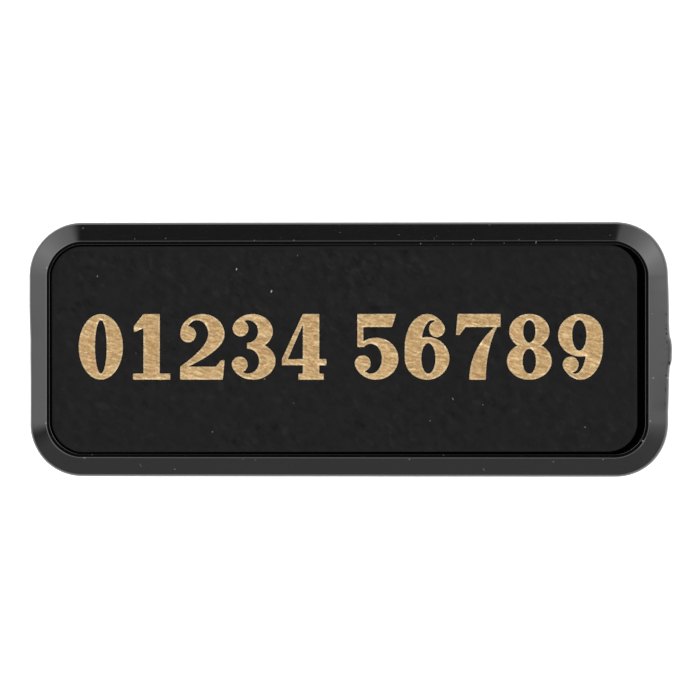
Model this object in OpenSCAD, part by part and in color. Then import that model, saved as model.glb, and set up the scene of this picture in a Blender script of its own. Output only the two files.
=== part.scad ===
// Name badge: a leatherette plate with engraved numerals in a moulded frame, with a magnetic clasp.
// It lies face up. The origin is the centre of the clasp's underside, +X is the badge's
// length, +Y is the top of the numerals and +Z points out of the face. Millimetres.

/* [Frame] */
// Length of the frame over its side walls
frame_w = 82.65; // [77:0.05:95]
// Height of the frame over its side walls
frame_h = 32.7; // [26:0.1:45]
// Thickness of the frame from its flat back to the crest
frame_t = 3.4; // [3.3:0.1:5]
// Radius of the frame's outer corners
frame_r = 6.9; // [5:0.1:9]
// Width of the sloping border, seen from the front
slope_w = 2.44; // [1.5:0.02:3]
// Drop of the sloping border from the crest to the side wall
slope_drop = 1.4; // [0.8:0.1:2]
// Width of the flat land between the crest and the recess
land_w = 0.47; // [0.4:0.01:1]
// Thickness of the floor under the plate
floor_t = 1.2; // [1:0.1:1.4]
// Radius on the frame's outer edges
edge_r = 0.6; // [0.1:0.05:0.7]
// Radius along the crest
crest_r = 0.4; // [0.2:0.05:0.6]
// Radius on the land's inner edge
lip_r = 0.08; // [0.05:0.01:0.2]

/* [Gate mark] */
// Length of the gate mark along the right-hand wall, where it stands out most
gate_len = 3.5; // [2.6:0.1:4.5]
// How far the gate mark stands out of the wall
gate_out = 0.4; // [0.3:0.02:0.6]
// Place of the gate mark's middle above or below the frame's centre
gate_y = -0.33; // [-3:0.01:3]
// Height of the gate mark's foot above the frame's back
gate_z = 0.5; // [0.5:0.05:0.8]
// Depth of the gate mark's top below the border's slope
gate_sink = 0.1; // [0.08:0.01:0.2]

/* [Plate] */
// Clearance of the plate in the length of the recess, both ends together
play_x = 1.3; // [1.1:0.05:2]
// Clearance of the plate in the height of the recess, both sides together
play_y = 0.42; // [0.38:0.02:1]
// How far the plate has slid along the recess
slide_x = -0.46; // [-0.46:0.02:0.46]
// How far the plate has slid up the recess
slide_y = 0.08; // [-0.09:0.01:0.09]
// Turn of the plate in the recess, in degrees
plate_turn = 0.12; // [-0.15:0.01:0.15]
// Thickness of the gold-coloured ply
core_t = 1.3; // [1:0.1:1.5]
// Thickness of the black leatherette skin
skin_t = 0.2; // [0.15:0.05:0.4]

/* [Numerals] */
// Height of a numeral
num_h = 8.45; // [7.8:0.05:9.5]
// Width of a numeral
num_w = 5.78; // [5:0.02:6.1]
// Space between two numerals
num_space = 0.8; // [0.5:0.05:1]
// Space between the two groups of numerals
group_space = 3.5; // [2:0.1:5]
// Width of the heavy strokes
stem = 2.15; // [1.5:0.05:2.3]
// Width of the thin strokes
hair = 0.8; // [0.5:0.05:1]
// Place of the numerals' middle to the right of the plate's centre
row_x = -0.45; // [-1:0.05:1]
// Place of the numerals' middle above the plate's centre
row_y = 0.25; // [-3:0.05:3]

/* [Clasp] */
// Length of the magnetic bar
bar_w = 45; // [30:0.5:60]
// Height of the magnetic bar
bar_h = 12.7; // [10:0.1:18]
// Thickness of the magnetic bar
bar_t = 4.5; // [3:0.1:6]
// Radius of the bar's corners
bar_r = 3; // [2:0.1:4]
// Radius on the bar's edges
bar_edge_r = 0.6; // [0.3:0.05:1]

/* [Hidden] */

// Gap left between pieces that rest on each other
fit_gap = 0.05;
// Steps in each small rounded edge
edge_steps = 3;

// Heights in the finished badge
frame_z = bar_t + fit_gap;
core_z = frame_z + floor_t + fit_gap;
skin_z = core_z + core_t + fit_gap;

// Recess of the frame
border_w = slope_w + land_w;
recess_w = frame_w - 2 * border_w;
recess_h = frame_h - 2 * border_w;
recess_r = frame_r - border_w;
floor_lap = slope_w / 2;

// Plate that lies in the recess
plate_w = recess_w - play_x;
plate_h = recess_h - play_y;
plate_r = recess_r - 0.2;

// Rows of numerals
GROUPS = [[0, 1, 2, 3, 4], [5, 6, 7, 8, 9]];
group_len = len(GROUPS[0]);
group_w = group_len * num_w + (group_len - 1) * num_space;
row_w = 2 * group_w + group_space;

// Ovals that several numerals share
WHOLE = [num_w / 2, num_h / 2, num_w / 2, num_h / 2];
upper_ry = 0.265 * num_h;
lower_ry = (num_h + hair) / 2 - upper_ry;
ball_r = 0.18 * num_w;

// Point of an oval at an angle
function on_oval(o, angle) = [o[0] + o[2] * cos(angle), o[1] + o[3] * sin(angle)];

// Points of an oval from angle from_a to to_a
function arc(o, from_a, to_a, n) = [for (i = [0:n]) on_oval(o, from_a + (to_a - from_a) * i / n)];

// Points of a curve that leaves a towards b and reaches c
function curve(a, b, c, n = 10) =
    [for (i = [0:n]) let (t = i / n) (1 - t) * (1 - t) * a + 2 * t * (1 - t) * b + t * t * c];

// Points that round corner b between its neighbours a and c
function rounded(a, b, c, r) = let (
    u = (a - b) / norm(a - b),
    v = (c - b) / norm(c - b),
    half = acos(u * v) / 2,
    middle = b + (u + v) / norm(u + v) * r / sin(half),
    first = b + u * r / tan(half) - middle,
    last = b + v * r / tan(half) - middle,
    from_a = atan2(first.y, first.x),
    turn = atan2(last.y, last.x) - from_a,
    swing = turn > 180 ? turn - 360 : turn < -180 ? turn + 360 : turn
) [for (i = [0:edge_steps]) let (a = from_a + swing * i / edge_steps) middle + r * [cos(a), sin(a)]];

// Closed outline with corner i rounded by radii[i], or left sharp where that is 0
function eased(points, radii) = let (n = len(points)) [
    for (i = [0:n - 1]) let (before = points[(i + n - 1) % n], after = points[(i + 1) % n])
        each (radii[i] > 0 ? rounded(before, points[i], after, radii[i]) : [points[i]])
];

module rounded_plate(w, h, t, r) {
    linear_extrude(t) {
        square([w - 2 * r, h], center = true);
        square([w, h - 2 * r], center = true);
        for (x = [-1, 1], y = [-1, 1])
            translate([x * (w / 2 - r), y * (h / 2 - r)]) circle(r, $fn = 96);
    }
}

// A profile carried round a rounded rectangle. Its x is the distance from the corner's centre.
module rounded_border(w, h, r, profile) {
    cx = w / 2 - r;
    cy = h / 2 - r;
    corners = [[cx, cy, 2 * cy], [-cx, cy, 2 * cx], [-cx, -cy, 2 * cy], [cx, -cy, 2 * cx]];
    for (i = [0:3])
        translate([corners[i].x, corners[i].y]) rotate(90 * i) {
            rotate_extrude(angle = 90, $fn = 96) polygon(profile);
            rotate([90, 0, 0]) linear_extrude(corners[i].z) polygon(profile);
        }
}

// Frame

// What is left of the gate that filled the mould: a low swelling of the wall, with a long foot, that
// follows the border's slope at its top
module gate_mark() {
    wall_x = frame_w / 2;
    root_x = wall_x - slope_w / 2;
    foot_x = wall_x - 0.1;
    side_x = wall_x + gate_out / 3;
    tip_x = wall_x + gate_out;
    foot_y = 0.95 * gate_len;
    side_y = gate_len / 2;
    tip_y = 0.24 * gate_len;
    top_z = frame_t - slope_drop - gate_sink;
    fall = slope_drop / slope_w;
    plan = [
        [root_x, -foot_y],
        [foot_x, -foot_y],
        [side_x, -side_y],
        [tip_x, -tip_y],
        [tip_x, tip_y],
        [side_x, side_y],
        [foot_x, foot_y],
        [root_x, foot_y]
    ];
    side = [
        [root_x, gate_z],
        [tip_x, gate_z],
        [tip_x, max(top_z - gate_out * fall, gate_z + 0.2)],
        [root_x, top_z + slope_w / 2 * fall]
    ];
    translate([0, gate_y, 0]) intersection() {
        linear_extrude(frame_t) polygon(eased(plan, [0, 0, 0.4, 0.5, 0.5, 0.4, 0, 0]));
        rotate([90, 0, 0]) linear_extrude(2 * gate_len, center = true) polygon(side);
    }
}

module frame() {
    middle_w = recess_w - recess_r;
    middle_h = recess_h - recess_r;
    web_t = floor_t / 2;
    floor_w = recess_w + 2 * floor_lap;
    floor_h = recess_h + 2 * floor_lap;
    profile = eased(
        [
            [0, 0],
            [frame_r, 0],
            [frame_r, frame_t - slope_drop],
            [frame_r - slope_w, frame_t],
            [recess_r, frame_t],
            [recess_r, web_t],
            [0, web_t]
        ],
        [0, edge_r, edge_r, crest_r, lip_r, 0, 0]
    );
    color([0.06, 0.06, 0.07]) translate([0, 0, frame_z]) {
        rounded_border(frame_w, frame_h, frame_r, profile);
        translate([-middle_w / 2, -middle_h / 2, 0]) cube([middle_w, middle_h, web_t]);
        translate([0, 0, web_t / 2])
            rounded_plate(floor_w, floor_h, floor_t - web_t / 2, recess_r + floor_lap);
        gate_mark();
    }
}

// Plate

module insert_core() {
    color([0.76, 0.64, 0.47])
        translate([slide_x, slide_y, core_z]) rotate(plate_turn)
            rounded_plate(plate_w, plate_h, core_t, plate_r);
}

module leather_face() {
    color([0.14, 0.14, 0.14]) translate([slide_x, slide_y, skin_z]) difference() {
        rotate(plate_turn) rounded_plate(plate_w, plate_h, skin_t, plate_r);
        translate([row_x - row_w / 2, row_y - num_h / 2, -skin_t / 2])
            linear_extrude(2 * skin_t) numeral_row();
    }
}

// Numerals, each drawn in a box num_w wide and num_h high with its lower left corner at the origin.
// An oval is given as [middle x, middle y, half width, half height].

module oval(o) {
    polygon(arc(o, 0, 352.5, 47));
}

// A ring that is left and right wide at its sides and a thin stroke at its top and foot
module bowl(o, left, right) {
    difference() {
        oval(o);
        oval([o[0] + (left - right) / 2, o[1], o[2] - (left + right) / 2, o[3] - hair]);
    }
}

// A round stroke end that lies inside an oval and touches it at an angle
module ball(o, angle, r) {
    outward = [cos(angle) / o[2], sin(angle) / o[3]];
    translate(on_oval(o, angle) - r * outward / norm(outward)) circle(r, $fn = 40);
}

module bar_at(x, y, w, h) {
    translate([x, y]) square([w, h]);
}

module zero() {
    bowl(WHOLE, stem, stem);
}

module one() {
    stem_x = (num_w - stem) / 2;
    flag_x = 0.1 * num_w;
    flag_y = 0.72 * num_h;
    bar_at(stem_x, 0, stem, num_h);
    bar_at(0.08 * num_w, 0, 0.84 * num_w, hair);
    polygon([[stem_x, num_h], [flag_x, flag_y + hair], [flag_x, flag_y], [stem_x, 0.78 * num_h]]);
}

module two() {
    top_ry = 0.31 * num_h;
    turn_y = num_h - top_ry;
    foot_h = 0.2 * num_h;
    top = [num_w / 2, turn_y, num_w / 2, top_ry];
    intersection() {
        bowl(top, hair, stem);
        bar_at(0, turn_y, num_w, top_ry);
    }
    ball(top, 180, ball_r);
    polygon(concat(
        curve([num_w, turn_y], [num_w, 0.46 * num_h], [1.35 * hair, foot_h]),
        curve([0, foot_h], [num_w - stem, 0.5 * num_h], [num_w - stem, turn_y])
    ));
    polygon([
        [0, 0],
        [0.96 * num_w, 0],
        [num_w, 0.3 * num_h],
        [0.92 * num_w, 0.3 * num_h],
        [0.8 * num_w, foot_h],
        [0, foot_h]
    ]);
}

module three() {
    top = [0.48 * num_w, num_h - upper_ry, 0.46 * num_w, upper_ry];
    foot = [num_w / 2, lower_ry, num_w / 2, lower_ry];
    cut_from = on_oval(foot, 202).y;
    cut_to = on_oval(top, 158).y;
    difference() {
        union() {
            bowl(top, hair, 0.9 * stem);
            bowl(foot, hair, stem);
        }
        bar_at(-hair, cut_from, 0.36 * num_w + hair, cut_to - cut_from);
    }
    ball(top, 158, ball_r);
    ball(foot, 202, ball_r);
}

module four() {
    stem_x = 0.84 * num_w - stem;
    bar_y = 0.22 * num_h;
    bar_at(stem_x, 0, stem, num_h);
    bar_at(0, bar_y, num_w, hair);
    bar_at(stem_x - 0.1 * num_w, 0, stem + 0.2 * num_w, hair);
    polygon([[stem_x, num_h], [0, bar_y + hair], [0, bar_y], [hair, bar_y + hair], [stem_x, 0.83 * num_h]]);
}

module five() {
    foot_ry = 0.32 * num_h;
    flag_h = 0.2 * num_h;
    left = 0.08 * num_w;
    foot = [num_w / 2, foot_ry, num_w / 2, foot_ry];
    cut_from = on_oval(foot, 202).y;
    polygon([[left, num_h], [left, num_h - flag_h], [0.86 * num_w, num_h - flag_h], [0.95 * num_w, num_h]]);
    bar_at(left, 1.55 * foot_ry, hair, num_h - 1.55 * foot_ry);
    difference() {
        bowl(foot, hair, stem);
        bar_at(-hair, cut_from, 0.4 * num_w + hair, 1.55 * foot_ry - cut_from);
    }
    ball(foot, 202, ball_r);
}

module six() {
    foot_ry = 0.325 * num_h;
    tip = on_oval(WHOLE, 42);
    bowl([num_w / 2, foot_ry, num_w / 2, foot_ry], stem, 0.85 * stem);
    bar_at(0, foot_ry, stem, num_h / 2 - foot_ry);
    intersection() {
        bowl(WHOLE, stem, hair);
        union() {
            bar_at(0, num_h / 2, num_w / 2, num_h / 2);
            bar_at(0, tip.y, num_w, num_h - tip.y);
        }
    }
    ball(WHOLE, 42, ball_r);
}

module seven() {
    beam_h = 0.2 * num_h;
    foot_x = 0.3 * num_w;
    beam_y = num_h - beam_h;
    bar_at(0.04 * num_w, beam_y, 0.96 * num_w, beam_h);
    polygon([
        [0, 0.68 * num_h],
        [0.09 * num_w, 0.68 * num_h],
        [0.22 * num_w, beam_y],
        [0.22 * num_w, num_h],
        [0.04 * num_w, num_h]
    ]);
    polygon(concat(
        curve([num_w, num_h - beam_h / 2], [foot_x + stem, 0.52 * num_h], [foot_x + stem, 0]),
        curve([foot_x, 0], [foot_x, 0.46 * num_h], [num_w - hair, beam_y])
    ));
}

module eight() {
    bowl([num_w / 2, num_h - upper_ry, 0.45 * num_w, upper_ry], 0.85 * stem, 0.85 * stem);
    bowl([num_w / 2, lower_ry, num_w / 2, lower_ry], 0.95 * stem, 0.95 * stem);
}

module nine() {
    translate([num_w, num_h]) rotate(180) six();
}

module numeral(value) {
    if (value == 0) zero();
    if (value == 1) one();
    if (value == 2) two();
    if (value == 3) three();
    if (value == 4) four();
    if (value == 5) five();
    if (value == 6) six();
    if (value == 7) seven();
    if (value == 8) eight();
    if (value == 9) nine();
}

module numeral_row() {
    for (g = [0:len(GROUPS) - 1], i = [0:group_len - 1])
        translate([g * (group_w + group_space) + i * (num_w + num_space), 0]) numeral(GROUPS[g][i]);
}

// Clasp

module magnet_bar() {
    middle_w = bar_w - 2 * bar_r;
    middle_h = bar_h - 2 * bar_r;
    profile = eased(
        [[0, 0], [bar_r, 0], [bar_r, bar_t], [0, bar_t]],
        [0, bar_edge_r, bar_edge_r, 0]
    );
    color([0.2, 0.2, 0.22]) {
        rounded_border(bar_w, bar_h, bar_r, profile);
        translate([-middle_w / 2, -middle_h / 2, 0]) cube([middle_w, middle_h, bar_t]);
    }
}

frame();
insert_core();
leather_face();
magnet_bar();
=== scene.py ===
import math

import bmesh
import bpy
import numpy as np
from mathutils import Matrix, Vector, geometry, kdtree, noise


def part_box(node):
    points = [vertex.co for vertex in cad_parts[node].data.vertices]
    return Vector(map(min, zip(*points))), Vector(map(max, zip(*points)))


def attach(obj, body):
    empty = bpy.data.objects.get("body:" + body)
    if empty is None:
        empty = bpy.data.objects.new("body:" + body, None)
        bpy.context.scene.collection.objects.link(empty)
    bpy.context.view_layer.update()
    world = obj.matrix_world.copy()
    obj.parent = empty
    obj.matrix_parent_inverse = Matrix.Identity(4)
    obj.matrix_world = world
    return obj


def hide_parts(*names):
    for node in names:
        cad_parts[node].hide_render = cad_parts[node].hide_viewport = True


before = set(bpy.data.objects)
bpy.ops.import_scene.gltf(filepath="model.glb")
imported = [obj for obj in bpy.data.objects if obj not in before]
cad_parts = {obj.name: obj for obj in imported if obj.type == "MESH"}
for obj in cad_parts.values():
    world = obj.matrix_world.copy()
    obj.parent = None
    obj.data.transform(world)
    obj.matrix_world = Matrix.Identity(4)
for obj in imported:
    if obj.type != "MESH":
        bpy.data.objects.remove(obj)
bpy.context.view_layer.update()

# Moulded frame: one piece of glossy black ABS, a sloping border round a shallow recess with a flat
# floor. The stub of the mould's gate is left on the right wall, where the moulding was broken off
# its runner, and dust and fine rubs show along the crest. Meshes are modelled in millimetres.

MM = 0.001
BADGE_L, BADGE_H, FRAME_T, CORNER_R = 82.65, 32.7, 3.4, 6.9
SLOPE_W, SLOPE_DROP, LAND_W, FLOOR_T = 2.44, 1.4, 0.47, 1.2
BROW_R, EDGE_R, CREST_R, LIP_R, FOOT_R = 0.9, 0.6, 0.4, 0.06, 0.1
FRAME_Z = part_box("frame")[0].z / MM
FLOOR_LAP = 0.6  # how much of the floor the profile takes in
BROW_STEPS, ROUND_STEPS, CORNER_STEPS = 9, 7, 32
PROFILE_STEP, RUN_STEP, SUPPORT = 0.3, 0.24, 0.035
SINK = 0.012
GATE_FOOT, GATE_TOP = 1.4, 0.2  # how far inside the wall the gate mark starts and is whole
GATE_Z, GATE_RISE, GATE_TEAR = 0.45, 0.15, 0.03
GATE_LEAN_Z, GATE_LEAN_RISE = 1.0, 0.6


def wire_round(bm, corner, radius, steps):
    """Rounds one corner of a flat outline. The bevel's offset runs along the two sides."""
    a, b = [e.other_vert(corner).co - corner.co for e in corner.link_edges]
    offset = radius / math.tan(a.angle(b) / 2)
    bmesh.ops.bevel(bm, geom=[corner], offset=offset, offset_type="OFFSET", affect="VERTICES",
                    segments=steps, profile=0.5, material=-1)


def frame_profile(bm):
    """Half section of the border, from the recess floor over the crest and round to the back."""
    recess_r = CORNER_R - SLOPE_W - LAND_W
    inside = recess_r - FLOOR_LAP
    outline = [(inside, FLOOR_T, 0), (recess_r, FLOOR_T, FOOT_R), (recess_r, FRAME_T, LIP_R),
               (CORNER_R - SLOPE_W, FRAME_T, CREST_R), (CORNER_R, FRAME_T - SLOPE_DROP, BROW_R),
               (CORNER_R, 0, EDGE_R), (inside, 0, 0)]
    corners = [bm.verts.new((x, 0, z)) for x, z, _ in outline]
    bm.faces.new(corners)
    for corner, (_, _, radius) in zip(corners, outline):
        if radius:
            wire_round(bm, corner, radius, BROW_STEPS if radius == BROW_R else ROUND_STEPS)
    inner = [e for e in bm.edges if all(v.co.x < inside + 0.01 for v in e.verts)]
    bmesh.ops.delete(bm, geom=list(bm.faces), context="FACES_ONLY")
    bmesh.ops.delete(bm, geom=inner, context="EDGES")
    flats = [e for e in bm.edges if e.calc_length() > 0.2]
    for flat in flats:
        ends = list(flat.verts)
        length = flat.calc_length()
        bmesh.utils.edge_split(flat, ends[0], SUPPORT / length)
        rest = next(e for e in ends[1].link_edges if e.calc_length() > length - 2 * SUPPORT)
        bmesh.utils.edge_split(rest, ends[1], SUPPORT / rest.calc_length())
    for flat in [e for e in bm.edges if e.calc_length() > PROFILE_STEP]:
        bmesh.ops.subdivide_edges(bm, edges=[flat], cuts=int(flat.calc_length() / PROFILE_STEP))


def carried_round(bm, half_x, half_y):
    """Turns the profile about each corner's centre and draws it along the runs between them."""
    line = bm.verts[:] + bm.edges[:]
    bmesh.ops.rotate(bm, verts=bm.verts, cent=(0, 0, 0), matrix=Matrix.Rotation(-math.pi / 2, 3, "Z"))
    bmesh.ops.translate(bm, verts=bm.verts, vec=(half_x, -half_y, 0))
    for x, y, run in ((1, -1, (0, 2 * half_y, 0)), (1, 1, (-2 * half_x, 0, 0)),
                      (-1, 1, (0, -2 * half_y, 0)), (-1, -1, (2 * half_x, 0, 0))):
        line = bmesh.ops.spin(bm, geom=line, cent=(x * half_x, y * half_y, 0), axis=(0, 0, 1),
                              dvec=(0, 0, 0), angle=math.pi / 2, steps=CORNER_STEPS, use_merge=False,
                              use_duplicate=False)["geom_last"]
        edges = [e for e in line if isinstance(e, bmesh.types.BMEdge)]
        grown = bmesh.ops.extrude_edge_only(bm, edges=edges)["geom"]
        points = [v for v in grown if isinstance(v, bmesh.types.BMVert)]
        bmesh.ops.translate(bm, verts=points, vec=run)
        carried = set(points)
        line = points + [e for e in grown
                         if isinstance(e, bmesh.types.BMEdge) and carried.issuperset(e.verts)]
    bmesh.ops.remove_doubles(bm, verts=bm.verts, dist=2e-3)
    for run in (2 * half_x, 2 * half_y):
        long_edges = [e for e in bm.edges if abs(e.calc_length() - run) < 0.01]
        bmesh.ops.subdivide_edges(bm, edges=long_edges, cuts=round(run / RUN_STEP), use_grid_fill=True)


def as_piece(bm, name):
    """Turns a millimetre mesh into an object of the scene, in metres."""
    bmesh.ops.scale(bm, verts=bm.verts, vec=(MM, MM, MM))
    mesh = bpy.data.meshes.new(name)
    bm.to_mesh(mesh)
    bm.free()
    mesh.polygons.foreach_set("use_smooth", [True] * len(mesh.polygons))
    piece = bpy.data.objects.new(name, mesh)
    bpy.context.scene.collection.objects.link(piece)
    return piece


def gate_swell(y):
    """How far the gate mark stands out of the right-hand wall at a height y of the badge's face."""
    return np.interp(y, (-3.7, -2.75, -2.2, -1.8, -1.35, -0.1, 0.6, 1.2, 1.6, 2.2, 3.6),
                     (0, 0.05, 0.1, 0.25, 0.33, 0.37, 0.34, 0.27, 0.13, 0.05, 0))


# For each end wall, heights of the badge's face and how far the wall is drawn in there
LEFT_DRAW = ((-11, -9, -6.5, -3.9, -1, 1.2, 2.5, 3.8, 5.5),
             (0.1, 0.14, 0.15, 0.15, 0.11, 0.12, 0.08, 0.04, 0))
RIGHT_DRAW = ((-10.4, -7.8, -6.5, -3.9, 5.1, 7.6, 8.9, 10.2),
              (0.12, 0.11, 0.05, 0, 0, 0.05, 0.12, 0.14))


def pulled_in(x, y):
    """How far the end walls stand inside their true line. The moulding drew in as it cooled."""
    return np.interp(y, *(LEFT_DRAW if x < 0 else RIGHT_DRAW))


# For a corner, the distance from its centre and how far a point there is drawn in
POCKET_EASE = {(-1, 1): ((2.4, 3.4, 4.5, 6.5), (0, 0.11, 0.11, 0)),
               (1, 1): ((3.6, 4.1, 4.4, 4.5, 6.5), (0, 0.07, 0.13, 0.13, 0)),
               (-1, -1): ((2.4, 3.6, 4.0, 4.4, 6.5), (0, 0.14, 0.13, 0.06, 0))}


def ease_corners(bm):
    """Draws the points round three of the pocket's corners in. They came out of the mould rounder than
    the border's outer corners, and the plate is cut to match."""
    for v in bm.verts:
        side = (int(math.copysign(1, v.co.x)), int(math.copysign(1, v.co.y)))
        away = Vector((v.co.x - side[0] * (BADGE_L / 2 - CORNER_R),
                       v.co.y - side[1] * (BADGE_H / 2 - CORNER_R)))
        if side in POCKET_EASE and away.x * side[0] > 0 and away.y * side[1] > 0:
            spread = 2 * abs(away.x * away.y) / away.length_squared
            pull = np.interp(away.length, *POCKET_EASE[side]) * spread * spread * (3 - 2 * spread)
            v.co.xy -= away.normalized() * pull


bm = bmesh.new()
frame_profile(bm)
carried_round(bm, BADGE_L / 2 - CORNER_R, BADGE_H / 2 - CORNER_R)
for level in (FLOOR_T, 0):
    rim = [e for e in bm.edges if e.is_boundary and abs(e.verts[0].co.z - level) < 1e-3]
    bmesh.ops.holes_fill(bm, edges=rim, sides=0)
bmesh.ops.recalc_face_normals(bm, faces=bm.faces[:])
bm.normal_update()
for v in bm.verts:
    sink = 0.5 + 0.5 * noise.noise(Vector((v.co.x * 0.11, v.co.y * 0.16, 3.0)))
    v.co -= v.normal * SINK * sink
    outward = (abs(v.co.x) - (BADGE_L / 2 - SLOPE_W)) / SLOPE_W
    v.co.x -= math.copysign(pulled_in(v.co.x, v.co.y) * min(1, max(0, outward)), v.co.x)
    swell = gate_swell(v.co.y) * min(1, max(0, (v.co.z - GATE_Z) / GATE_RISE))
    if v.co.x > BADGE_L / 2 - GATE_FOOT and swell > 0:
        torn = GATE_TEAR * noise.noise(Vector((3.0, v.co.y * 2.6, v.co.z * 2.6)))
        carried = min(1, (v.co.x - BADGE_L / 2 + GATE_FOOT) / (GATE_FOOT - GATE_TOP))
        carried *= carried * (3 - 2 * carried)
        v.co.x += max(0, swell + torn * min(1, swell * 5)) * carried
        leaning = min(1, max(0, (v.co.z - GATE_LEAN_Z) / GATE_LEAN_RISE))
        v.co.z -= swell * carried * SLOPE_DROP / SLOPE_W * leaning
ease_corners(bm)
bmesh.ops.translate(bm, verts=bm.verts, vec=(0, 0, FRAME_Z))
badge_frame = as_piece(bm, "badge_frame")


def finish_for(piece, name):
    """A new node material on a piece, with its tree and its main shader."""
    material = bpy.data.materials.new(name)
    material.use_nodes = True
    tree = material.node_tree
    piece.data.materials.clear()
    piece.data.materials.append(material)
    return tree, next(n for n in tree.nodes if n.type == "BSDF_PRINCIPLED")


def wired(tree, kind, settings=None, **inputs):
    """Adds one shader node. Sockets are named in words or by in0, in1 and so on."""
    node = tree.nodes.new("ShaderNode" + kind)
    for key, value in (settings or {}).items():
        setattr(node, key, value)
    for key, value in inputs.items():
        number = key[2:] if key[:2] == "in" and key[2:].isdigit() else ""
        socket = node.inputs[int(number)] if number else node.inputs[key.replace("_", " ")]
        if isinstance(value, bpy.types.NodeSocket):
            tree.links.new(value, socket)
        else:
            socket.default_value = value
    return node.outputs


def noise_at(tree, where, size_mm, detail=3.0, roughness=0.5):
    """Noise from 0 to 1 whose features are about size_mm across."""
    return wired(tree, "TexNoise", None, Vector=where, Scale=1 / (size_mm * MM), Detail=detail,
                 Roughness=roughness)["Fac"]


def between(tree, value, low, high, to_low=0.0, to_high=1.0):
    """Carries low to high smoothly over to to_low to to_high."""
    return wired(tree, "MapRange", {"interpolation_type": "SMOOTHSTEP"}, Value=value, in1=low, in2=high,
                 in3=to_low, in4=to_high)["Result"]


def maths(tree, operation, a, b=0.0):
    """One sum on two values."""
    return wired(tree, "Math", {"operation": operation}, in0=a, in1=b)[0]


def mixed(tree, fac, a, b):
    """Mixes two colours."""
    return wired(tree, "Mix", {"data_type": "RGBA"}, in0=fac, in6=a, in7=b)[2]


def specks(tree, where, spots):
    """Grains and fibres of dust on the badge's face. A spot is (x, y, half length, half width, turn in
    degrees, strength), in millimetres."""
    flat = wired(tree, "VectorMath", {"operation": "MULTIPLY"}, in0=where, in1=(1, 1, 0))[0]
    total = None
    for x, y, half_l, half_w, turn, strength in spots:
        inside = wired(tree, "Mapping", {"vector_type": "TEXTURE"}, Vector=flat,
                       Location=(x * MM, y * MM, 0), Rotation=(0, 0, math.radians(turn)),
                       Scale=(half_l * MM, half_w * MM, 1))[0]
        away = wired(tree, "VectorMath", {"operation": "LENGTH"}, in0=inside)[1]
        grain = between(tree, away, 1.0, 0.4, 0, strength)
        total = grain if total is None else maths(tree, "MAXIMUM", total, grain)
    return total


FRAME_DUST = [(24.4, 13.7, 0.25, 0.07, 80, 0.5), (-22.3, -15.4, 0.14, 0.1, 20, 0.5),
              (-33.9, -13.95, 0.2, 0.1, 10, 0.6), (17.6, -15.4, 0.28, 0.07, -50, 0.38),
              (-38.9, -9.5, 0.12, 0.2, 0, 0.5), (26.6, -14.4, 0.14, 0.07, 0, 0.5),
              (6.7, 14.7, 0.14, 0.07, 0, 0.25), (-38.8, 10.5, 0.12, 0.16, 30, 0.5),
              (39.43, -3.65, 0.13, 0.12, 0, 0.6), (39.06, -9.17, 0.13, 0.12, 0, 0.6),
              (8.1, -14.1, 0.12, 0.12, 0, 0.4), (-26.7, -14.9, 0.3, 0.07, -60, 0.28),
              (39.28, 4.55, 0.08, 0.08, 0, 0.5), (-23.4, 14.25, 0.12, 0.12, 0, 0.2),
              (-27.4, 14.2, 0.1, 0.12, 0, 0.2), (-34.2, 15.6, 0.12, 0.1, 0, 0.35),
              (20.3, 13.6, 0.14, 0.08, 90, 0.22), (11.6, 14.5, 0.08, 0.08, 0, 0.2),
              (38.1, -11.7, 0.16, 0.14, 0, 0.5), (33.0, -14.1, 0.14, 0.1, 0, 0.4),
              (-13.4, -14.1, 0.1, 0.06, 0, 0.4), (41.18, -3.65, 0.12, 0.12, 0, 0.9),
              (16.0, 13.4, 0.3, 0.05, 60, 0.4), (33.9, 14.6, 0.2, 0.06, 10, 0.15),
              (16.35, 14.05, 0.13, 0.08, 40, 0.4), (9.55, 13.55, 0.1, 0.1, 0, 0.45),
              (3.65, 13.5, 0.12, 0.07, 10, 0.25), (11.3, 14.2, 0.08, 0.2, 20, 0.13),
              (-11.9, 14.0, 0.1, 0.09, 0, 0.3), (-6.8, 14.0, 0.12, 0.08, 0, 0.3),
              (22.2, 14.05, 0.12, 0.1, 0, 0.17), (27.0, 14.0, 0.12, 0.09, 0, 0.3),
              (25.8, 13.35, 0.2, 0.06, 30, 0.35), (13.7, 13.5, 0.1, 0.08, 0, 0.25),
              (-32.9, -13.55, 0.14, 0.09, 0, 0.15), (18.3, 15.95, 0.2, 0.06, 10, 0.25),
              (12.5, -13.55, 0.12, 0.08, 0, 0.2), (-11.8, -14.2, 0.1, 0.1, 0, 0.3),
              (-0.9, 15.0, 0.15, 0.06, 0, 0.2)]

ABS_DEEP, ABS_PALER = (0.0014, 0.0014, 0.0015, 1), (0.0022, 0.0022, 0.0024, 1)
POCKET_SHADE_BLACK, DUST_GREY = (0.0003, 0.0003, 0.0003, 1), (0.16, 0.155, 0.145, 1)

tree, shader = finish_for(badge_frame, "gloss_black_abs")
where = wired(tree, "TexCoord")["Object"]
broad = noise_at(tree, where, 9, 2)
rubs = noise_at(tree, wired(tree, "Mapping", None, Vector=where, Rotation=(0, 0, 0.5),
                            Scale=(0.25, 1.8, 1))[0], 0.5, 6, 0.65)
dusty = between(tree, noise_at(tree, where, 0.09, 1), 0.76, 0.8)
dust = maths(tree, "MAXIMUM", specks(tree, where, FRAME_DUST), maths(tree, "MULTIPLY", dusty, 0.35))
base = mixed(tree, broad, ABS_DEEP, ABS_PALER)
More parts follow.
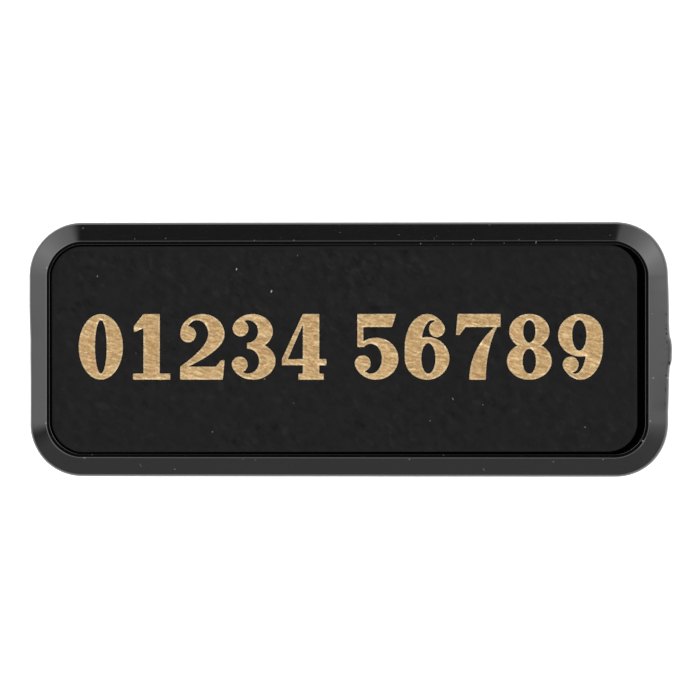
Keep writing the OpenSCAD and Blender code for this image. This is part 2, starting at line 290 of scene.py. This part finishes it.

# The recess's floor is matt, and its colour is painted near black there as painted shade: low down, and
# inside the border's crest
FLOOR_TOP = (FRAME_Z + FLOOR_T) * MM
depth = wired(tree, "SeparateXYZ", None, in0=where)[2]
from_middle = wired(tree, "VectorMath", {"operation": "ABSOLUTE"}, in0=where)[0]
from_middle = wired(tree, "SeparateXYZ", None, in0=from_middle)
inner = maths(tree, "MULTIPLY", between(tree, from_middle[0], 39.0 * MM, 38.9 * MM),
              between(tree, from_middle[1], 14.0 * MM, 13.9 * MM))
matt_shaded_floor = maths(tree, "MULTIPLY", between(tree, depth, FLOOR_TOP + 0.5 * MM, FLOOR_TOP + 0.1 * MM), inner)
base = mixed(tree, matt_shaded_floor, base, POCKET_SHADE_BLACK)
tree.links.new(mixed(tree, dust, base, DUST_GREY), shader.inputs["Base Color"])
gloss = between(tree, rubs, 0.3, 0.75, 0.06, 0.12)
NICKS = [(41.02, 4.5, 0.13, 0.11, 90, 1.0), (41.0, 3.1, 0.1, 0.09, 90, 1.0),
         (41.0, 2.62, 0.15, 0.09, 90, 1.0), (41.03, 2.0, 0.22, 0.1, 90, 1.0),
         (41.38, -1.75, 0.35, 0.12, 90, 1.0), (41.0, -3.35, 0.12, 0.12, 90, 1.0),
         (40.92, -5.2, 0.5, 0.07, 90, 0.7), (40.88, -7.0, 0.35, 0.07, 90, 0.6),
         (41.35, 0, 1.9, 0.3, 90, 0.3), (41.1, 0.9, 0.35, 0.1, 90, 0.6)]
dulled = maths(tree, "MAXIMUM", matt_shaded_floor, specks(tree, where, NICKS))
rough = maths(tree, "ADD", maths(tree, "MULTIPLY", dust, 0.6), maths(tree, "MULTIPLY", dulled, 0.5))
tree.links.new(maths(tree, "ADD", gloss, rough), shader.inputs["Roughness"])
tree.links.new(between(tree, dulled, 0, 1, 0.5, 0.01), shader.inputs["Specular IOR Level"])
bumps = wired(tree, "Bump", None, Strength=0.12, Distance=0.004 * MM, Height=rubs)["Normal"]
tree.links.new(bumps, shader.inputs["Normal"])
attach(badge_frame, "root")
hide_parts("frame")

# Gold ply: the stiff gold-coloured layer of the leatherette laminate, laid in the recess. It is
# furrowed like the flesh side of leather, with painted shade in its hollows and pits and painted
# highlights on its crests and threads. The engraver bares it inside the numerals, where its rim is
# bleached by the heat and also painted lighter, a painted light against the shade that the skin's
# cut walls cast. Its die-cut edge is painted dark, as painted shade in the gap round the plate.

core_lo, core_hi = (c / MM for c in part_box("insert_core"))
skin_lo, skin_hi = (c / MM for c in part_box("leather_face"))
PLATE_L, PLATE_H, PLATE_R, PLATE_TURN = 75.53, 26.46, 3.79, math.radians(0.12)
PLATE_X, PLATE_Y = (core_lo.x + core_hi.x) / 2, (core_lo.y + core_hi.y) / 2
BAND_L, BAND_H, BAND_X, BAND_Y = 68.7, 9.4, PLATE_X - 0.45, PLATE_Y + 0.25
BAND_COLUMNS, BAND_ROWS = 715, 98
RIM_REACH = 0.5  # how far from a cut its rim is followed
EDGE_STEP = 0.06

# The way that the leather's grain and the ply's furrows run, and the length and width of each form
GRAIN_COS, GRAIN_SIN, FURROW_COS, FURROW_SIN = 0.94, 0.34, 0.974, 0.225
CREASE_L, CREASE_W, PIT_L, PIT_W = 1.9, 0.42, 0.42, 0.24
FURROW_L, FURROW_W, RIPPLE_L, RIPPLE_W, THREAD_L, THREAD_W = 1.4, 0.29, 0.93, 0.22, 3.2, 0.4
FURROW_RISE, THREAD_RISE, PIT_DIP = 0.014, 0.006, 0.01
noise.seed_set(4)  # noise_vector would otherwise differ from run to run


def pressed_grain(x, y):
    """The leather grain at a point of the plate: its long creases and the fine pits between them, each
    from 0 to 1."""
    stir = noise.noise_vector(Vector((x * 0.9, y * 0.9, 1.0))) * 0.5
    stir += noise.noise_vector(Vector((x * 2.6, y * 2.6, 8.0))) * 0.16
    along = GRAIN_COS * x - GRAIN_SIN * y
    across = GRAIN_SIN * x + GRAIN_COS * y + 2.2 * noise.noise(Vector((x * 0.1, y * 0.14, 5.0)))
    ridge = abs(noise.noise(Vector((along / CREASE_L + stir.x, across / CREASE_W + stir.y, 2.0))))
    kept = 0.5 + 1.5 * noise.noise(Vector((x * 0.9, y * 1.3, 12.0)))
    crease = max(0.0, 1 - ridge / 0.11) * min(1.0, max(0.1, kept))
    pits = noise.noise(Vector((along / PIT_L + stir.x, across / PIT_W + stir.y, 20.0)))
    return crease, min(1.0, max(0.0, 0.5 + pits))


def ply_furrows(x, y):
    """The bared ply at a point: its furrows, from -1 to 1, and the thin raised threads among them,
    from 0 to 1. Both run down to the right in waves."""
    stir = noise.noise_vector(Vector((x * 1.1, y * 1.1, 31.0))) * 0.62
    along = FURROW_COS * x - FURROW_SIN * y
    across = FURROW_SIN * x + FURROW_COS * y + 0.61 * noise.noise(Vector((x * 0.2, y * 0.25, 35.0)))
    wave = noise.noise(Vector((along / FURROW_L + stir.x, across / FURROW_W + stir.y, 30.0)))
    ripple = noise.noise(Vector((along / RIPPLE_L + stir.x, across / RIPPLE_W + stir.y, 40.0)))
    ridge = abs(noise.noise(Vector((along / THREAD_L + stir.x, across / THREAD_W + stir.y, 52.0))))
    kept = 0.5 + 1.5 * noise.noise(Vector((x * 0.9, y * 1.3, 12.0)))
    thread = max(0.0, 1 - ridge / 0.13) * min(1.0, max(0.1, kept))
    return max(-1.0, min(1.0, 2.2 * wave + 1.5 * ripple)), thread


def from_leftmost(loop):
    """The same loop, begun at its leftmost point and run clockwise, whichever way it was walked."""
    area = sum(a.x * b.y - b.x * a.y for a, b in zip(loop, loop[1:] + loop[:1]))
    loop = loop[::-1] if area > 0 else loop
    first = min(range(len(loop)), key=lambda i: (loop[i].x, loop[i].y))
    return loop[first:] + loop[:first]


def numeral_edges():
    """Outlines of the engraved numerals and of the plate, as closed loops of points in millimetres."""
    bm = bmesh.new()
    bm.from_mesh(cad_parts["leather_face"].data)
    bmesh.ops.remove_doubles(bm, verts=bm.verts, dist=1e-7)
    bm.normal_update()
    bmesh.ops.delete(bm, geom=[f for f in bm.faces if f.normal.z <= 0.9], context="FACES")
    loops, rims = [], [e for e in bm.edges if e.is_boundary]
    left = set(rims)
    for edge in rims:
        if edge not in left:
            continue
        left.remove(edge)
        start, here = edge.verts
        loop = [start, here]
        while here is not start:
            edge = next(e for e in here.link_edges if e in left)
            left.remove(edge)
            here = edge.other_vert(here)
            loop.append(here)
        loops.append(from_leftmost([Vector((v.co.x / MM, v.co.y / MM)) for v in loop[:-1]]))
    bm.free()
    return loops


def stepped(loop, step):
    """The loop with its sides cut into pieces no longer than step."""
    points = []
    for a, b in zip(loop, loop[1:] + loop[:1]):
        cuts = max(1, math.ceil((b - a).length / step))
        points += [a.lerp(b, i / cuts) for i in range(cuts)]
    return points


def nearest_finder(loops, step=0.04):
    """A search tree over points set closely along the loops."""
    points = [p for loop in loops for p in stepped(loop, step)]
    tree = kdtree.KDTree(len(points))
    for i, p in enumerate(points):
        tree.insert((p.x, p.y, 0), i)
    tree.balance()
    return tree


cut_loops = sorted(numeral_edges(), key=lambda loop: min(p.x for p in loop))
plate_loop, numeral_loops = cut_loops[0], cut_loops[1:]
rim_finder = nearest_finder(numeral_loops)

bm = bmesh.new()
lift = Matrix.Translation((BAND_X, BAND_Y, core_hi.z)) @ Matrix.Diagonal((BAND_L / 2, BAND_H / 2, 1, 1))
bmesh.ops.create_grid(bm, x_segments=BAND_COLUMNS, y_segments=BAND_ROWS, size=1, matrix=lift)
thread_layer = bm.verts.layers.float.new("thread")
pit_layer = bm.verts.layers.float.new("pit")
rim_layer = bm.verts.layers.float.new("rim")
border_layer = bm.verts.layers.float.new("border")
furrow_layer = bm.verts.layers.float.new("furrow")
for v in bm.verts:
    _, pit = pressed_grain(v.co.x, v.co.y)
    furrow, thread = ply_furrows(v.co.x, v.co.y)
    v[furrow_layer], v[thread_layer], v[pit_layer] = furrow, thread, pit
    v[rim_layer] = min(1.0, rim_finder.find((v.co.x, v.co.y, 0))[2] / RIM_REACH)
    v.co.z += FURROW_RISE + FURROW_RISE * furrow - THREAD_RISE * (1 - thread) - PIT_DIP * pit
wall = [e for e in bm.edges if e.is_boundary]
grown = bmesh.ops.extrude_edge_only(bm, edges=wall)["geom"]
half_l, half_h = PLATE_L / 2, PLATE_H / 2
swing = Matrix.Rotation(PLATE_TURN, 2)
for v in [v for v in grown if isinstance(v, bmesh.types.BMVert)]:
    x = (v.co.x - BAND_X) * half_l / (BAND_L / 2)
    y = (v.co.y - BAND_Y) * half_h / (BAND_H / 2)
    centre = Vector((math.copysign(half_l - PLATE_R, x), math.copysign(half_h - PLATE_R, y)))
    if abs(x) > abs(centre.x) and abs(y) > abs(centre.y):
        x, y = centre + (Vector((x, y)) - centre).normalized() * PLATE_R
    x, y = swing @ Vector((x, y))
    v.co = (PLATE_X + x, PLATE_Y + y, core_hi.z - EDGE_STEP)
    v[thread_layer], v[pit_layer], v[rim_layer], v[border_layer] = 0, 0.5, 1, 1
for drop in (EDGE_STEP, core_hi.z - core_lo.z - 2 * EDGE_STEP):
    edges = [e for e in bm.edges if e.is_boundary]
    grown = bmesh.ops.extrude_edge_only(bm, edges=edges)["geom"]
    lowered = [v for v in grown if isinstance(v, bmesh.types.BMVert)]
    bmesh.ops.translate(bm, verts=lowered, vec=(0, 0, -drop))
bmesh.ops.holes_fill(bm, edges=[e for e in bm.edges if e.is_boundary], sides=0)
bmesh.ops.recalc_face_normals(bm, faces=bm.faces[:])
ease_corners(bm)
gold_ply = as_piece(bm, "gold_ply")


def carried_by(tree, name):
    """A value that the mesh's points carry under this name."""
    return wired(tree, "Attribute", {"attribute_name": name})["Fac"]


# The browns below darken the ply's hollows and pits as painted shade, and the bright golds light its
# crests, threads and flecks as painted highlights.
GOLD_DEEP, GOLD_PALE = (0.228, 0.143, 0.055, 1), (0.266, 0.174, 0.073, 1)
GOLD_WARM, CREST_HIGHLIGHT_GOLD = (0.270, 0.147, 0.066, 1), (0.42, 0.305, 0.160, 1)
HOLLOW_SHADE_BROWN, PIT_SHADE_BROWN = (0.140, 0.078, 0.028, 1), (0.140, 0.078, 0.026, 1)
GLINT_HIGHLIGHT_GOLD, THREAD_HIGHLIGHT_GOLD = (0.40, 0.288, 0.150, 1), (0.50, 0.380, 0.205, 1)
BLEACH_AND_RIM_LIGHT, EDGE_SHADE_BROWN = (1.02, 1.17, 1.52, 1), (0.006, 0.004, 0.003, 1)

tree, shader = finish_for(gold_ply, "bared_gold_ply")
where = wired(tree, "TexCoord")["Object"]
thread = carried_by(tree, "thread")
pit = carried_by(tree, "pit")
rim = carried_by(tree, "rim")
furrow = carried_by(tree, "furrow")
slanted = wired(tree, "Mapping", {"vector_type": "TEXTURE"}, Vector=where, Rotation=(0, 0, -0.2),
                Scale=(2, 1, 1))[0]
fine = noise_at(tree, slanted, 0.19, 2, 0.6)
grit = noise_at(tree, where, 0.2, 1, 0.5)
broad = noise_at(tree, where, 3.2, 3, 0.55)
hue = noise_at(tree, where, 0.7, 2, 0.5)
gold = mixed(tree, broad, GOLD_DEEP, GOLD_PALE)
gold = mixed(tree, between(tree, hue, 0.45, 0.7, 0, 0.85), gold, GOLD_WARM)
# Painted shade and highlight over the relief: the furrows' hollows, the pits and the lows of the fine
# bump are painted darker; the furrows' crests, the raised threads and the highs of the fine bump are
# painted lighter.
gold = mixed(tree, between(tree, furrow, 0, -0.8, 0, 0.4), gold, HOLLOW_SHADE_BROWN)
gold = mixed(tree, between(tree, furrow, 0, 0.8, 0, 0.22), gold, CREST_HIGHLIGHT_GOLD)
gold = mixed(tree, between(tree, pit, 0.5, 0.95, 0, 0.3), gold, PIT_SHADE_BROWN)
gold = mixed(tree, between(tree, fine, 0.5, 0.34, 0, 0.34), gold, HOLLOW_SHADE_BROWN)
gold = mixed(tree, between(tree, fine, 0.55, 0.7, 0, 0.34), gold, GLINT_HIGHLIGHT_GOLD)
gold = mixed(tree, maths(tree, "MULTIPLY", thread, 0.62), gold, THREAD_HIGHLIGHT_GOLD)
# Towards the numerals' cuts the colour is lifted up to 1.6 times: painted light against the shade that
# the skin's cut walls cast on the ply.
shade = maths(tree, "MULTIPLY", between(tree, grit, 0.3, 0.7, 0.86, 1.14),
              between(tree, rim, 0.7, 0, 1, 1.6))
gold = wired(tree, "VectorMath", {"operation": "SCALE"}, in0=gold, Scale=shade)[0]
# Close to the cuts the ply is also paler: partly bleached by the heat, partly a painted highlight along
# the cut.
bleached_and_lit = mixed(tree, between(tree, rim, 0.66, 0.12), (1, 1, 1, 1), BLEACH_AND_RIM_LIGHT)
gold = wired(tree, "VectorMath", {"operation": "MULTIPLY"}, in0=gold, in1=bleached_and_lit)[0]
# The plate's die-cut edge is painted near black: painted shade in the gap round the plate.
gold = mixed(tree, between(tree, carried_by(tree, "border"), 0.05, 0.4), gold, EDGE_SHADE_BROWN)
tree.links.new(gold, shader.inputs["Base Color"])
tree.links.new(between(tree, fine, 0.2, 0.8, 0.62, 0.46), shader.inputs["Roughness"])
shader.inputs["Specular IOR Level"].default_value = 0.2
bumps = wired(tree, "Bump", None, Strength=0.6, Distance=0.02 * MM, Height=fine)["Normal"]
tree.links.new(bumps, shader.inputs["Normal"])
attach(gold_ply, "root")
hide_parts("insert_core")

# Leatherette skin: the black top layer of the laminate, with a fine pressed grain. A laser has burnt
# the row of numerals through it down to the gold ply, which leaves a narrow scorched rim round each;
# that rim's dark colour is partly the scorch and partly painted shade along the cut walls. Near the
# plate's edges, most at the top, the skin is painted lighter, a painted light against the shade that
# the frame's lip casts.

SKIN_STEP, RIM_STEP, RIM_IN = 0.168, 0.17, 0.075
ROW_STEP = SKIN_STEP * 0.866
EDGE_LIGHT_REACH, EDGE_ROUND = 0.65, 0.08
CREASE_DEPTH, PIT_DEPTH, ROLL_DEPTH, SKIN_SINK = 0.02, 0.012, 0.015, 0.004
EDGE_DROP, CUT_DROP = 0.012, 0.02


def offset_in(loop, distance, finder):
    """Points beside the loop, on both sides, that keep clear of its other parts."""
    points = []
    for before, here, after in zip(loop[-1:] + loop[:-1], loop, loop[1:] + loop[:1]):
        way = (after - before).normalized()
        for side in (1, -1):
            point = here + Vector((way.y, -way.x)) * distance * side
            if finder.find((point.x, point.y, 0))[2] > 0.8 * distance:
                points.append(point)
    return points


def inner_points(loops):
    """Points spread over the skin for its grain, with a row beside every cut."""
    finder = nearest_finder(loops)
    points = []
    for loop in loops:
        points += offset_in(loop, RIM_IN, finder)
    for row in range(int((skin_hi.y - skin_lo.y) / ROW_STEP)):
        y = skin_lo.y + (row + 0.5) * ROW_STEP
        x = skin_lo.x + (row % 2) * SKIN_STEP / 2
        while x < skin_hi.x:
            nudge = noise.noise_vector(Vector((x * 9.7, y * 9.7, 4.0))) * 0.05
            point = Vector((x + nudge.x, y + nudge.y))
            if finder.find((point.x, point.y, 0))[2] > RIM_IN + 0.45 * SKIN_STEP:
                points.append(point)
            x += SKIN_STEP
    return points


def flat_sheet(bm, loops, inner, z):
    """Fills the skin between its loops at height z. The numerals stay open: each cut that is crossed
    changes skin to hole or back."""
    points, sides = [], []
    for loop in loops:
        first = len(points)
        points += loop
        sides += [(first + i, first + (i + 1) % len(loop)) for i in range(len(loop))]
    made, _, faces, sources, *_ = geometry.delaunay_2d_cdt(points + inner, sides, [], 1, 1e-6)
    place = {s: i for i, found in enumerate(sources) for s in found}
    verts = [bm.verts.new((p.x, p.y, z)) for p in made]
    faces = [bm.faces.new([verts[i] for i in face]) for face in faces]
    cuts = {bm.edges.get((verts[place[a]], verts[place[b]])) for a, b in sides}
    start = next(f for f in faces if any(e.is_boundary for e in f.edges))
    is_skin, waiting = {start: True}, [start]
    while waiting:
        face = waiting.pop()
        for edge in face.edges:
            for other in edge.link_faces:
                if other not in is_skin:
                    is_skin[other] = is_skin[face] != (edge in cuts)
                    waiting.append(other)
    bmesh.ops.delete(bm, geom=[f for f, kept in is_skin.items() if not kept], context="FACES")
    bmesh.ops.delete(bm, geom=[v for v in bm.verts if not v.link_faces], context="VERTS")


skin_loops = [stepped(loop, RIM_STEP) for loop in cut_loops]
bm = bmesh.new()
rim_layer = bm.verts.layers.float.new("rim")
crease_layer = bm.verts.layers.float.new("crease")
edge_layer = bm.verts.layers.float.new("edge")
flat_sheet(bm, skin_loops, inner_points(skin_loops), skin_hi.z)
edge_finder = nearest_finder([plate_loop])
top_rim = [e for e in bm.edges if e.is_boundary]
for v in bm.verts:
    x, y = v.co.xy
    crease, pit = pressed_grain(x, y)
    from_cut = rim_finder.find((x, y, 0))[2]
    from_edge = edge_finder.find((x, y, 0))[2]
    v[rim_layer] = min(1.0, from_cut / RIM_REACH)
    v[crease_layer] = crease
    # Near the plate's edges, fullest at the top, the skin's colour is lifted: painted light against the
    # shade that the frame's lip casts.
    at_top = y > PLATE_Y + PLATE_H / 2 - EDGE_LIGHT_REACH
    v[edge_layer] = max(0.0, 1 - from_edge / EDGE_LIGHT_REACH) * (1 if at_top else 0.4)
    rolls = 0.5 + 0.5 * noise.noise(Vector((x * 0.6, y * 0.8, 6.0)))
    worn = CREASE_DEPTH * crease + PIT_DEPTH * pit + ROLL_DEPTH * rolls
    rounding = EDGE_DROP * max(0, 1 - from_edge / EDGE_ROUND) ** 2
    rounding += CUT_DROP * max(0, 1 - from_cut / EDGE_ROUND) ** 2
    v.co.z -= SKIN_SINK + worn * min(1, 0.3 + from_edge) + rounding
grown = bmesh.ops.extrude_edge_only(bm, edges=top_rim)["geom"]
for v in grown:
    if isinstance(v, bmesh.types.BMVert):
        v.co.z = skin_lo.z
flat_sheet(bm, skin_loops, [], skin_lo.z)
bmesh.ops.remove_doubles(bm, verts=[v for v in bm.verts if v.co.z < skin_lo.z + 0.01], dist=1e-4)
bmesh.ops.recalc_face_normals(bm, faces=bm.faces[:])
ease_corners(bm)
leather_skin = as_piece(bm, "leather_skin")
leather_skin.data.set_sharp_from_angle(angle=math.radians(60))

LEATHER_DEEP, LEATHER_PALER = (0.0013, 0.0013, 0.0014, 1), (0.0064, 0.0064, 0.0065, 1)
CREASE_GREY, EDGE_LIGHT_GREY = (0.0052, 0.0052, 0.0052, 1), (0.0070, 0.0070, 0.0072, 1)
SCORCH_AND_SHADE, LINT_GREY = (0.0035, 0.0018, 0.0010, 1), (0.36, 0.35, 0.33, 1)

tree, shader = finish_for(leather_skin, "black_leatherette")
where = wired(tree, "TexCoord")["Object"]
rim = carried_by(tree, "rim")
crease = carried_by(tree, "crease")
slanted = wired(tree, "Mapping", {"vector_type": "TEXTURE"}, Vector=where, Rotation=(0, 0, -0.8),
                Scale=(1.4, 1, 1))[0]
fine = noise_at(tree, slanted, 0.2, 2, 0.5)
mottle = noise_at(tree, slanted, 1.0, 2, 0.5)
spots = noise_at(tree, slanted, 0.85, 1, 0.4)
handled = wired(tree, "Mapping", {"vector_type": "TEXTURE"}, Vector=where,
                Location=(-5 * MM, 8 * MM, 0), Scale=(26 * MM, 9 * MM, 1))[0]
handled = wired(tree, "VectorMath", {"operation": "LENGTH"}, in0=handled)[1]
patchy = maths(tree, "MULTIPLY", between(tree, noise_at(tree, where, 9, 2), 0.35, 0.7, 0.5, 1),
               between(tree, handled, 0.2, 1.1, 1.15, 0.8))
LEATHER_DUST = [(-11.32, -0.35, 0.2, 0.16, 60, 1.0), (-14.28, 10.3, 0.2, 0.09, 75, 0.6),
                (-9.77, 7.45, 0.24, 0.12, 70, 0.5), (20.9, -0.75, 0.13, 0.13, 0, 0.3),
                (10.7, -9.15, 0.08, 0.08, 0, 0.35), (30.65, -9.95, 0.13, 0.09, 0, 0.28),
                (17.5, -7.1, 0.08, 0.1, 0, 0.25), (13.65, -6.35, 0.26, 0.09, -60, 0.2),
                (-32.3, 9.4, 0.11, 0.17, 0, 0.2), (-10.65, -3.8, 0.16, 0.14, 20, 0.18),
                (-17.4, -10.6, 0.13, 0.12, 0, 0.16), (-27.3, -0.5, 0.07, 0.1, 0, 0.16),
                (-6.4, 12.05, 0.16, 0.08, 80, 0.15), (-6.9, -6.9, 0.12, 0.07, 0, 0.15)]
shade = between(tree, mottle, 0.3, 0.7, -0.25, 0.25)
shade = maths(tree, "ADD", shade, between(tree, spots, 0.6, 0.75, 0, 0.6))
shade = maths(tree, "SUBTRACT", shade, between(tree, spots, 0.37, 0.25, 0, 0.45))
shade = maths(tree, "ADD", maths(tree, "MULTIPLY", shade, patchy), 0.5)
base = mixed(tree, shade, LEATHER_DEEP, LEATHER_PALER)
base = mixed(tree, maths(tree, "MULTIPLY", crease, 0.35), base, CREASE_GREY)
# Painted light: the skin is lighter near the plate's edges, most at the top, where the frame's lip
# shades it.
base = mixed(tree, carried_by(tree, "edge"), base, EDGE_LIGHT_GREY)
# The rim round each cut is darker and browner, partly the laser's scorch and partly painted shade along
# the cut walls; its added roughness is the scorch.
scorch_and_shade = between(tree, rim, 0.3, 0.14)
base = mixed(tree, scorch_and_shade, base, SCORCH_AND_SHADE)
dust = specks(tree, where, LEATHER_DUST)
base = mixed(tree, dust, base, LINT_GREY)
tree.links.new(base, shader.inputs["Base Color"])
sheen = between(tree, mottle, 0.3, 0.7, 0.62, 0.52)
tree.links.new(maths(tree, "ADD", sheen, maths(tree, "MULTIPLY", scorch_and_shade, 0.2)),
               shader.inputs["Roughness"])
shader.inputs["Specular IOR Level"].default_value = 0.06
bumps = wired(tree, "Bump", None, Strength=0.14, Distance=0.01 * MM, Height=fine)["Normal"]
tree.links.new(bumps, shader.inputs["Normal"])
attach(leather_skin, "root")
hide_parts("leather_face")

# Magnetic clasp: a plain bar in satin black plastic with magnets moulded in. It holds the badge
# through the cloth from behind, and the badge lies on it here.

bar_lo, bar_hi = (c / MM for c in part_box("magnet_bar"))
BAR_R, BAR_EDGE_R = 3.0, 0.6
CLASP_DEEP, CLASP_PALER = (0.016, 0.016, 0.018, 1), (0.024, 0.024, 0.026, 1)
bm = bmesh.new()
bmesh.ops.create_cube(bm, size=1)
bmesh.ops.scale(bm, verts=bm.verts, vec=bar_hi - bar_lo)
upright = [e for e in bm.edges if abs(e.verts[0].co.z - e.verts[1].co.z) > 1]
bmesh.ops.bevel(bm, geom=upright, offset=BAR_R, offset_type="OFFSET", affect="EDGES", segments=14,
                profile=0.5, material=-1)
brims = [e for e in bm.edges if abs(e.verts[0].co.z - e.verts[1].co.z) < 0.1]
bmesh.ops.bevel(bm, geom=brims, offset=BAR_EDGE_R, offset_type="OFFSET", affect="EDGES", segments=6,
                profile=0.5, material=-1)
bmesh.ops.translate(bm, verts=bm.verts, vec=(bar_lo + bar_hi) / 2)
magnet_clasp = as_piece(bm, "magnet_clasp")

tree, shader = finish_for(magnet_clasp, "satin_black_plastic")
where = wired(tree, "TexCoord")["Object"]
cloudy = noise_at(tree, where, 4, 3)
spark = noise_at(tree, where, 0.12, 2)
tree.links.new(mixed(tree, cloudy, CLASP_DEEP, CLASP_PALER), shader.inputs["Base Color"])
tree.links.new(between(tree, cloudy, 0.3, 0.7, 0.42, 0.55), shader.inputs["Roughness"])
bumps = wired(tree, "Bump", None, Strength=0.3, Distance=0.01 * MM, Height=spark)["Normal"]
tree.links.new(bumps, shader.inputs["Normal"])
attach(magnet_clasp, "root")
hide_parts("magnet_bar")

# Studio: a plain pale table among soft boxes all round it, low behind, higher at the sides and in
# front, under a ceiling that is dark straight overhead. They are set in the world by compass bearing
# and height.

TABLE_HALF, TABLE_Z, TABLE_GLOW = 2000, -0.01, 0.4
TABLE_GREY, TABLE_WHITE = (0.88, 0.88, 0.88, 1), (0.90, 0.90, 0.90, 1)
bm = bmesh.new()
bmesh.ops.create_grid(bm, x_segments=1, y_segments=1, size=TABLE_HALF,
                      matrix=Matrix.Translation((0, 0, TABLE_Z)))
table = as_piece(bm, "table")

tree, shader = finish_for(table, "pale_table")
where = wired(tree, "TexCoord")["Object"]
tree.links.new(mixed(tree, noise_at(tree, where, 60, 2), TABLE_GREY, TABLE_WHITE),
               shader.inputs["Base Color"])
shader.inputs["Roughness"].default_value = 0.9
shader.inputs["Emission Color"].default_value = (1, 1, 1, 1)
shader.inputs["Emission Strength"].default_value = TABLE_GLOW

# Bearing and half width, height and half height, soft edge, all in degrees, and strength
LAMPS = [(44.6, 44.5, 32.2, 27.8, 4.2, 1.2), (32, 0, 32.2, 0, 67.4, 7.24),
         (146.6, 39.9, 33, 27, 8.1, 1.93), (149.8, 0, 24.9, 0, 54.6, 3.98),
         (281.2, 84.4, 32.5, 28.7, 13, 0.71), (279.4, 49.4, 59.3, 14.7, 3, 1.9),
         (90, 40, 60, 14, 5, 1.11), (0, 50, 60, 14, 5, 1.6), (180, 50, 60, 14, 5, 3.0),
         (0, 181, 10, 35, 8, 0.02), (88, 10, 28, 16, 8, 0.16), (318, 14, 30, 14, 10, 0.09)]
ROOM = 0.02
CEILING_FROM, CEILING_TO, CEILING_SHARE = 64, 80, 0.15
world = bpy.data.worlds.new("studio")
bpy.context.scene.world = world
world.use_nodes = True
tree = world.node_tree
sight = wired(tree, "SeparateXYZ", None, in0=wired(tree, "TexCoord")["Generated"])
bearing = maths(tree, "MULTIPLY", maths(tree, "ARCTAN2", sight[1], sight[0]), math.degrees(1))
height = maths(tree, "MULTIPLY", maths(tree, "ARCSINE", sight[2]), math.degrees(1))


def reach(value, middle, half, wrap):
    """How far outside a lamp's band a direction lies, in degrees. It is negative inside."""
    away = maths(tree, "SUBTRACT", value, middle)
    if wrap:
        away = wired(tree, "Math", {"operation": "WRAP"}, in0=away, in1=-180.0, in2=180.0)[0]
    return maths(tree, "SUBTRACT", maths(tree, "ABSOLUTE", away), half)


light = ROOM
for azimuth, half_width, elevation, half_height, edge, strength in LAMPS:
    out = maths(tree, "MAXIMUM", reach(bearing, azimuth, half_width, True),
                reach(height, elevation, half_height, False))
    light = maths(tree, "ADD", between(tree, out, edge, -edge, 0, strength), light)
overhead = between(tree, height, CEILING_FROM, CEILING_TO, 1, CEILING_SHARE)
light = maths(tree, "MULTIPLY", light, overhead)
seen = wired(tree, "LightPath")["Is Camera Ray"]
sky = tree.nodes["Background"]
sky.inputs["Color"].default_value = (1, 1, 1, 1)
tree.links.new(wired(tree, "Mix", {"data_type": "FLOAT"}, in0=seen, in2=light, in3=1.0)[0],
               sky.inputs["Strength"])

# Camera: a long lens 1.4 m above the badge, leaning a little towards its right-hand end. The lens
# is as long as makes the badge fill the photograph's frame at that distance.

LEAN = math.radians(6.2)
AIM = Vector((0.262, -0.081, FRAME_Z + FRAME_T / 2)) * MM
DISTANCE, LENS_PER_METRE = 1.4, 400.55
camera = bpy.data.objects.new("camera", bpy.data.cameras.new("camera"))
bpy.context.scene.collection.objects.link(camera)
look = Vector((math.sin(LEAN), 0, math.cos(LEAN)))
camera.location = AIM + look * DISTANCE
camera.rotation_mode = "QUATERNION"
camera.rotation_quaternion = Matrix.Rotation(LEAN, 3, "Y").to_quaternion()
camera.data.sensor_width = 36
camera.data.lens = LENS_PER_METRE * DISTANCE
camera.data.clip_start, camera.data.clip_end = 0.05, 20
bpy.context.scene.camera = camera
bpy.context.scene.view_settings.view_transform = "Standard"
